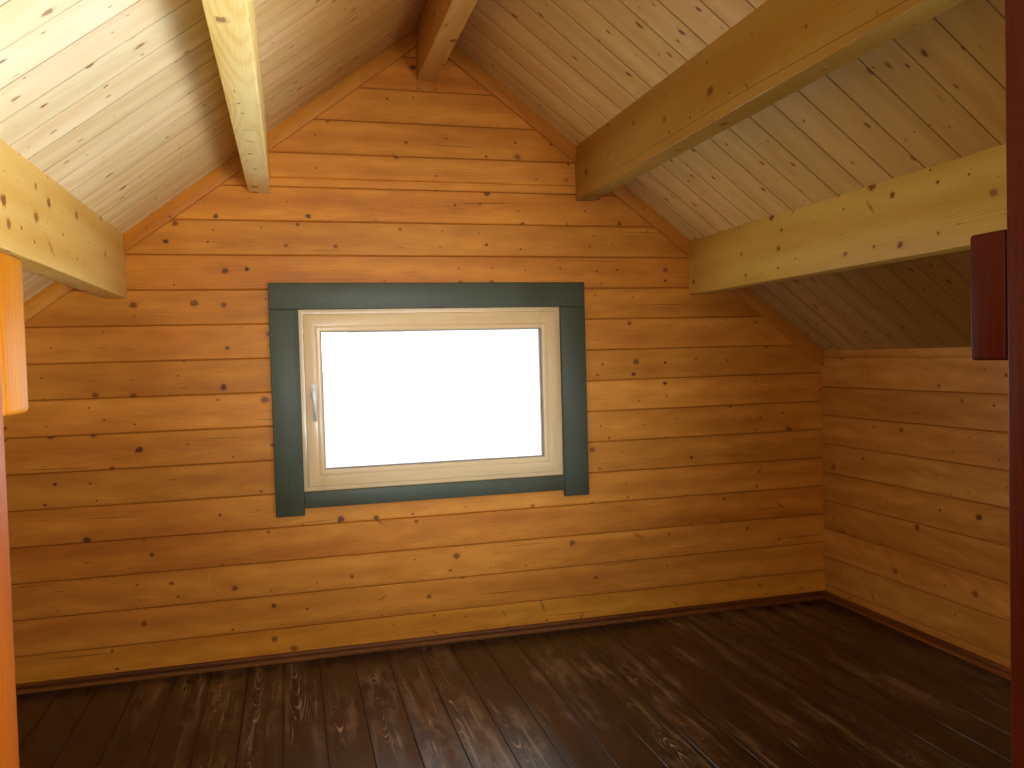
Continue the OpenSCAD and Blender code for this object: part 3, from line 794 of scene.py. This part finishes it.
def shingleTree():
    grow = Grow("shingleCourses", {"Tab": "Object", "Courses": "Int", "Tabs": "Int", "Exposure": "Float",
                                   "Tab Width": "Float", "Lift": "Float"})
    courses, tabs = grow.take("Courses"), grow.take("Tabs")
    number = grow.add("GeometryNodeInputIndex")
    row = (number / tabs + 0.001).calc("FLOOR")
    column = number - row * tabs
    jx, jy, jz = shingles["jitter"]
    reach = {"Min": (-jx, -jy, 0.0), "Max": (jx, jy, jz), "Seed": grow.take("Seed")}
    jx, jy, jz = grow.parts(grow.add("FunctionNodeRandomValue", reach, data_type="FLOAT_VECTOR"))
    stagger = (row * 0.5).calc("FRACT")
    place = grow.vector((column + stagger - 0.25) * grow.take("Tab Width") + jx,
                        row * grow.take("Exposure") + jy, jz + grow.take("Lift"))
    tilt = (grow.take("Lift") / grow.take("Exposure")).calc("ARCTANGENT")
    grow.row("Tab", courses * tabs, place, grow.vector(-tilt, 0.0, 0.0))
    return grow


def shingleSide(side, seed):
    # One slope: its felt-wrapped body, then the courses laid up from the eave
    eaveX = bay["halfEave"] + bay["drip"] - shingles["eaveInset"]
    high = shingles["bodyTop"]
    reach = (eaveX - high * slopeSin) / slopeCos
    courses = math.ceil(reach / shingles["exposure"])
    tabs = math.ceil((bay["gableY"] - bay["nearY"] + 0.5) / shingles["tabWidth"]) + 1
    laid = Matrix(((0, -slopeCos, slopeSin, eaveX), (1, 0, 0, bay["nearY"]),
                   (0, slopeSin, slopeCos, bay["ridgeZ"] - bay["rise"] * eaveX + high / slopeCos), (0, 0, 0, 1)))
    shape = shingleTree().harvest({"Tab": shingleTab(), "Courses": courses, "Tabs": tabs, "Seed": seed,
                                   "Exposure": shingles["exposure"], "Tab Width": shingles["tabWidth"],
                                   "Lift": shingles["thickness"], "Material": shingleFelt}, laid)
    edge = -bay["nearY"] - shingles["rakeInset"]
    trim(shape, ((0, 0, 0), (-1, 0, 0)), ((0, edge, 0), (0, 1, 0)), ((0, -edge, 0), (0, -1, 0)),
         ((eaveX + 0.001, 0, 0), (1, 0, 0)))
    under = bay["deck"] + shingles["clear"]
    outline = [(x, bay["ridgeZ"] - bay["rise"] * x + n / slopeCos)
               for x, n in ((0.0, under), (eaveX, under), (eaveX, high), (0.0, high))]
    body = prism(outline, bay["nearY"] + shingles["clear"], edge, axis=1)
    bmesh.ops.recalc_face_normals(body, faces=body.faces)
    rims = [e for e in body.edges
            if min(v.co.x for v in e.verts) > 0.1 or abs(e.verts[0].co.y - e.verts[1].co.y) < 0.1]
    bmesh.ops.bevel(body, geom=rims, offset=shingles["rim"], segments=2, profile=0.5, affect="EDGES",
                    clamp_overlap=True)
    shape.from_mesh(meshOf(body, "feltBody"))
    if side < 0:
        bmesh.ops.transform(shape, matrix=Matrix.Rotation(math.pi, 4, "Z"), verts=shape.verts)
    name = "left" if side < 0 else "right"
    addPiece("roof_shingles_" + name, shape, shingleFelt, slotOf["ridge_cap"], "roof_covering_" + name)


shingleSide(1, shingles["seed"])
shingleSide(-1, shingles["seed"] + 4)

# Folded shingles over the ridge, each lapped over the last
ridgeShingles = {
    "length": 0.29, "exposure": 0.145, "wing": 0.128, "thickness": 0.0018, "rest": 0.0490, "jitter": 0.003, "seed": 3,
    "lead": 0.02, "inset": 0.0002,
}


def ridgeRow():
    size = ridgeShingles
    wing, thick = size["wing"], size["thickness"] / slopeCos
    drop = wing * bay["rise"]
    shape = prism([(0, 0), (wing, -drop), (wing, -drop + thick), (0, thick), (-wing, -drop + thick), (-wing, -drop)],
                  0.0, size["length"], axis=1)
    grow = Grow("ridgeRow", {"Piece": "Object", "Count": "Int", "Spacing": "Float", "Lift": "Float"})
    along = grow.add("GeometryNodeInputIndex") * grow.take("Spacing") + grow.chance(-size["jitter"], size["jitter"])
    tilt = (grow.take("Lift") / grow.take("Spacing")).calc("ARCTANGENT")
    grow.row("Piece", grow.take("Count"), grow.vector(0.0, along, grow.take("Lift")), grow.vector(-tilt, 0.0, 0.0))
    count = math.ceil(-2 * bay["nearY"] / size["exposure"]) + 1
    laid = Matrix.Translation((0, bay["nearY"] - size["lead"], bay["ridgeZ"] + size["rest"] / slopeCos))
    shape = grow.harvest({"Piece": helperOf(shape, "ridgeShingle"), "Count": count, "Spacing": size["exposure"],
                          "Lift": thick, "Seed": size["seed"], "Material": shingleFelt}, laid)
    edge = -bay["nearY"] - size["inset"]
    trim(shape, ((0, edge, 0), (0, 1, 0)), ((0, -edge, 0), (0, -1, 0)))
    addPiece("ridge_shingles", shape, shingleFelt, slotOf["ridge_cap"], "ridge_cap")


ridgeRow()
print("shingles")

# Floor planks with eased edges and a hair of difference in height
planks = {"gap": 0.0010, "ease": 0.0014, "thickness": 0.0272, "drop": 0.0007, "seed": 11}


def layFloor():
    low, high = (Vector(corner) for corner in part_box("floor_boards"))
    half = bay["floorBoard"] / 2 - planks["gap"] / 2
    ease, thick = planks["ease"], planks["thickness"]
    shape = prism([(-half, -thick), (half, -thick), (half, -ease), (half - ease * 0.35, -ease * 0.35),
                   (half - ease, 0), (-half + ease, 0), (-half + ease * 0.35, -ease * 0.35), (-half, -ease)],
                  low.y, high.y, axis=1)
    grow = Grow("floorPlanks", {"Plank": "Object", "Count": "Int", "Spacing": "Float", "Drop": "Float"})
    number, dip = grow.add("GeometryNodeInputIndex"), grow.chance(0.0, 1.0)
    place = grow.vector(number * grow.take("Spacing"), 0.0, -(dip * grow.take("Drop")))
    grow.row("Plank", grow.take("Count"), place)
    first = math.floor((low.x - bay["floorLead"]) / bay["floorBoard"])
    count = math.ceil((high.x - low.x) / bay["floorBoard"]) + 1
    start = bay["floorLead"] + (first + 0.5) * bay["floorBoard"]
    shape = grow.harvest({"Plank": helperOf(shape, "plank"), "Count": count, "Spacing": bay["floorBoard"],
                          "Drop": planks["drop"], "Seed": planks["seed"], "Material": floorWood},
                         Matrix.Translation((start, 0, high.z)))
    trim(shape, ((high.x, 0, 0), (1, 0, 0)), ((low.x, 0, 0), (-1, 0, 0)))
    addPiece("floor_planks", shape, floorWood, slotOf["floor_boards"], "floor_boards")


layFloor()
print("floor planks")

# Sections round the glass, as (distance outside the glass edge, depth): the bead on the room side, the rubber on
# both faces of the panes and the spacer between them
glazing = {
    "bead": ((0.0225, -0.0100), (0.0220, -0.0116), (0.0205, -0.0122), (0.0045, -0.0120),
             (0.0012, -0.0100), (0.0002, -0.0060), (0.0002, 0.0070), (0.0060, 0.0070)),
    "inside": ((-0.0028, 0.0080), (-0.0020, 0.0058), (0.0004, 0.0052), (0.0030, 0.0080)),
    "outside": ((-0.0028, 0.0320), (-0.0020, 0.0342), (0.0004, 0.0348), (0.0030, 0.0320)),
    "spacer": ((-0.0030, 0.0128), (-0.0030, 0.0272), (0.0080, 0.0272), (0.0080, 0.0128)), "shade": 40,
}


def ringSweep(name, section, finish, slot):
    shape = bmesh.new()
    low, high, half = (bay[k] for k in ("glassLow", "glassHigh", "glassHalf"))
    rings = []
    for sideX, sideZ in ((-1, -1), (1, -1), (1, 1), (-1, 1)):
        ring = []
        for out, depth in glazing[section]:
            z = low - out if sideZ < 0 else high + out
            ring.append(shape.verts.new((sideX * (half + out), bay["gableY"] + depth, z + bay["floorTop"])))
        rings.append(ring)
    joinRings(shape, rings + rings[:1])
    bmesh.ops.recalc_face_normals(shape, faces=shape.faces)
    shadeByAngle(shape, glazing["shade"])
    addPiece(name, shape, finish, slot)


ringSweep("glazing_bead", "bead", windowWood, slotOf["window_sash"])
for face in ("inside", "outside"):
    ringSweep("glazing_rubber_" + face, face, sealRubber, slotOf["window_handle"])
ringSweep("pane_spacer", "spacer", leverMetal, slotOf["window_handle"])
print("window details")

# Screws through the barge boards and the outer casings
screws = {
    "radius": 0.0042, "rise": 0.0008, "sides": 14, "seed": 5,
    # Shares of the radius and of the rise; the last two rings are the dimple of the drive
    "profile": ((1.0, -0.6), (1.0, 0.35), (0.88, 0.75), (0.45, 1.0), (0.30, 1.0), (0.24, -0.5)),
    "bargeCount": 6, "bargeStart": 0.09, "bargeSpacing": 0.393, "bargeDown": (0.032, 0.118),
    "casingFace": 0.0202, "stileX": 0.5795, "stileApart": 0.03, "stileHeights": (0.70, 1.0, 1.31),
    "headX": (-0.58, -0.29, 0.0, 0.29, 0.58), "headZ": 1.4025, "headApart": 0.028,
}


def screwHead():
    shape = bmesh.new()
    radius, sides, rise = screws["radius"], screws["sides"], screws["rise"]
    rings = [[shape.verts.new(place) for place in circle(radius * wide, sides, rise * up)]
             for wide, up in screws["profile"]]
    joinRings(shape, rings)
    shape.faces.new(rings[0])
    shape.faces.new(rings[-1])
    return helperOf(shape, "screwHead")


def screwSpots():
    spots = []
    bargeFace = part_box("barge_boards")[1][1]
    for k in range(screws["bargeCount"]):
        x = screws["bargeStart"] + k * screws["bargeSpacing"]
        top = bay["ridgeZ"] - bay["rise"] * x + bay["deck"] / slopeCos
        spots += [(s * x, bargeFace, top - down) for s in (-1, 1) for down in screws["bargeDown"]]
    casingFace, foot = bay["gableY"] + bay["wall"] + screws["casingFace"], bay["floorTop"]
    spots += [(s * (screws["stileX"] + o * screws["stileApart"]), casingFace, foot + z)
              for s in (-1, 1) for o in (-1, 1) for z in screws["stileHeights"]]
    spots += [(x, casingFace, foot + screws["headZ"] + o * screws["headApart"])
              for x in screws["headX"] for o in (-1, 1)]
    return spots


def driveScrews():
    shape = bmesh.new()
    for spot in screwSpots():
        shape.verts.new(spot)
    grow = Grow("screwHeads", {"Head": "Object", "Spots": "Object"})
    roll = grow.chance(0.0, 6.28)
    grow.close("Head", grow.modelOf("Spots"), grow.vector(-math.pi / 2, 0.0, roll))
    shape = grow.harvest({"Head": screwHead(), "Spots": helperOf(shape, "screwSpots"), "Seed": screws["seed"],
                          "Material": leverMetal})
    addPiece("cladding_screws", shape, leverMetal, slotOf["window_handle"])


driveScrews()
print("screws")

# The studio: a pale floor, a white backdrop that the panes and the metal show too, and soft lamps
studio = {
    "radius": 9, "sides": 96, "drop": 0.0006, "floor": (0.55, 0.55, 0.545), "roughness": 0.9,
    "ambient": 0.16, "throughPanes": 1.25,  # over white, to make up for what the panes take
}
# Each sun: where it stands, strength and width in degrees
suns = {
    "skyRight": ((1.0, 0.45, 0.9), 1.3, 40),
    "skyLeft": ((-0.8, 0.6, 0.9), 1.1, 40),
    "skyFront": ((0.5, -0.9, 1.6), 0.24, 50),
}
# Each panel: place, target, size, watts, spread in degrees and colour
white = (1.0, 1.0, 1.0)
panels = {
    "doorLow": ((0.9, -2.7, 0.5), (-1.2, -0.7, 1.98), (1.3, 1.0), 21, 50, white),
    "doorRight": ((1.5, -2.2, 0.7), (-1.2, 0.2, 1.6), (1.0, 1.0), 3.4, 90, white),
    "doorHigh": ((0.6, -2.9, 1.75), (-1.0, 0.3, 1.7), (0.8, 0.6), 3.2, 180, white),
    "towardWindow": ((-0.35, -3.4, 1.4), (0.0, 1.1, 1.35), (0.6, 0.4), 2.1, 30, white),
    "paneGlow": ((0.0, 1.05, 1.13), (0.0, -1.0, 1.0), (0.85, 0.5), 6.0, 180, white),
    "windowHaze": ((0.2, 0.62, 0.90), (0.2, 1.1, 0.90), (1.2, 0.7), 1.55, 180, (0.85, 1.0, 1.2)),
}


def addStage():
    mesh = bpy.data.meshes.new("paleFloor")
    rim = circle(studio["radius"], studio["sides"], -studio["drop"])
    mesh.from_pydata(rim, [], [list(range(len(rim)))])
    material = bpy.data.materials.new("paleStage")
    material.use_nodes = True
    tree = Tree(material.node_tree)
    shader = tree.nodes["Principled BSDF"]
    tree.feed(shader.inputs["Base Color"], studio["floor"])
    tree.feed(shader.inputs["Roughness"], studio["roughness"])
    through = tree.add("ShaderNodeLightPath", out="Is Transmission Ray")
    glow = tree.add("ShaderNodeEmission", {"Color": white, "Strength": studio["throughPanes"]})
    mixed = tree.add("ShaderNodeMixShader", [through, Wire(tree, shader.outputs[0]), glow])
    tree.feed(tree.nodes["Material Output"].inputs["Surface"], mixed)
    mesh.materials.append(material)
    newObject("paleFloor", mesh)


def addWorld():
    world = bpy.data.worlds.new("paleWorld")
    bpy.context.scene.world = world
    world.use_nodes = True
    tree = Tree(world.node_tree)
    tree.nodes.clear()
    seen = tree.add("ShaderNodeLightPath", out="Is Camera Ray")
    through = seen.beside("Is Transmission Ray")
    shown = tree.high(tree.high(seen, seen.beside("Is Glossy Ray")), through)
    lit = tree.add("ShaderNodeBackground", {"Color": white, "Strength": studio["ambient"]})
    strength = through.line(studio["throughPanes"] - 1.0, 1.0)
    backdrop = tree.add("ShaderNodeBackground", {"Color": white, "Strength": strength})
    mixed = tree.add("ShaderNodeMixShader", [shown, lit, backdrop])
    tree.feed(tree.nodes.new("ShaderNodeOutputWorld").inputs["Surface"], mixed)


def addLamp(name, kind, back, energy):
    # The lamp's back points along the vector
    data = bpy.data.lights.new(name, kind)
    data.energy = energy
    lamp = newObject(name, data)
    lamp.rotation_euler = Vector(back).to_track_quat("Z", "Y").to_euler()
    return lamp, data


def addLamps():
    for name, (toward, strength, width) in suns.items():
        _, data = addLamp(name, "SUN", toward, strength)
        data.angle = math.radians(width)
    for name, (place, target, size, power, spread, colour) in panels.items():
        lamp, data = addLamp(name, "AREA", Vector(place) - Vector(target), power)
        data.shape, data.size, data.size_y = "RECTANGLE", *size
        data.spread, data.color = math.radians(spread), colour
        lamp.location = place
        lamp.visible_camera = False


addStage()
addWorld()
addLamps()
bpy.context.scene.view_settings.view_transform = "Standard"
print("lights and stage")
